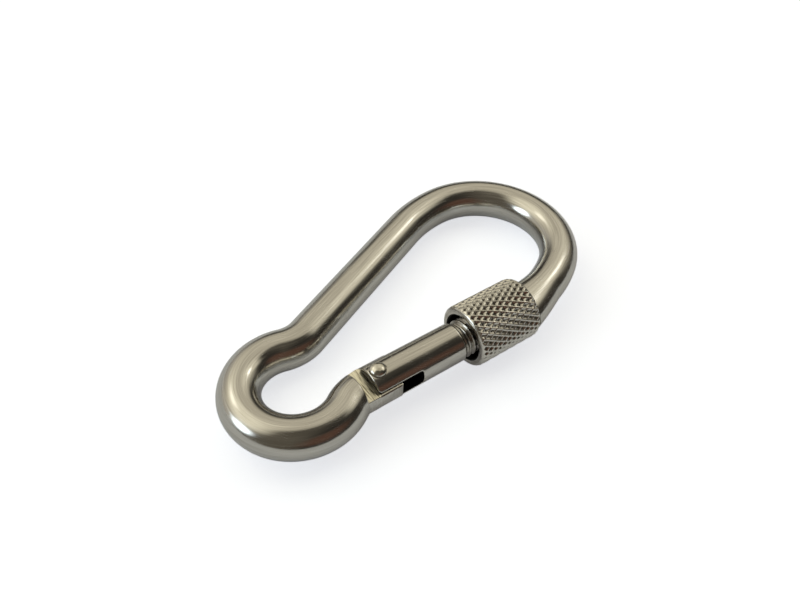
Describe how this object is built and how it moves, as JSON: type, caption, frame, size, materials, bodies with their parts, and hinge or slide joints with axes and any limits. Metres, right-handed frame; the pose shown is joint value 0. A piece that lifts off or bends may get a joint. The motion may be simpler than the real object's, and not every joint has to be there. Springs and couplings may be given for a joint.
{
  "type": "snap hook",
  "caption": "Pear-shaped round-bar snap hook with a small and a large bow, a spring-closed hinged gate and a knurled screw sleeve on the gate.",
  "frame": {"origin": "Middle of the closed hook's box: halfway along its length and its width, on the flat plane through the bar's centreline.", "axes": "+X runs along the load line, from the small bow to the large bow. +Y runs across the hook, from the gate side to the spine side. +Z is the normal of the flat plane in which the bar is bent."},
  "size_m": [0.1196, 0.0578, 0.017],
  "materials": {
    "polished_bar": "polished along the bar, with fine polishing lines",
    "polished_gate": "polished tube, dark inside",
    "rivet": "peened and polished dome",
    "plunger": "plain turned, oiled",
    "spring_wire": "drawn wire",
    "knurled_sleeve": "diamond knurl with bright peaks and dark grooves"
  },
  "bodies": {
    "hook": {"hook_body": "polished_bar"},
    "gate": {"gate": "polished_gate", "hinge_rivet": "rivet", "return_spring": "spring_wire"},
    "plunger": {"spring_plunger": "plunger"},
    "sleeve": {"screw_sleeve": "knurled_sleeve"}
  },
  "joints": [
    {"name": "gate_hinge", "type": "hinge", "parent": "hook", "child": "gate", "pos_m": [-0.02551, -0.01116, 0], "axis": [0, 0, 1], "range_deg": [0, 30], "stiffness_Nm_per_rad": 0.5, "springref_deg": -34.38},
    {"name": "plunger_slide", "type": "slide", "parent": "gate", "child": "plunger", "axis": [0.9781, -0.2079, 0], "range_m": [0, 0.0012], "deforming": ["return_spring"]},
    {"name": "sleeve_slide", "type": "slide", "parent": "gate", "child": "sleeve", "axis": [-0.9781, 0.2079, 0], "range_m": [0, 0.0085]}
  ],
  "couplings": [
    {"joint": "plunger_slide", "follows": "gate_hinge", "m_per_rad": 0.0022}
  ]
}
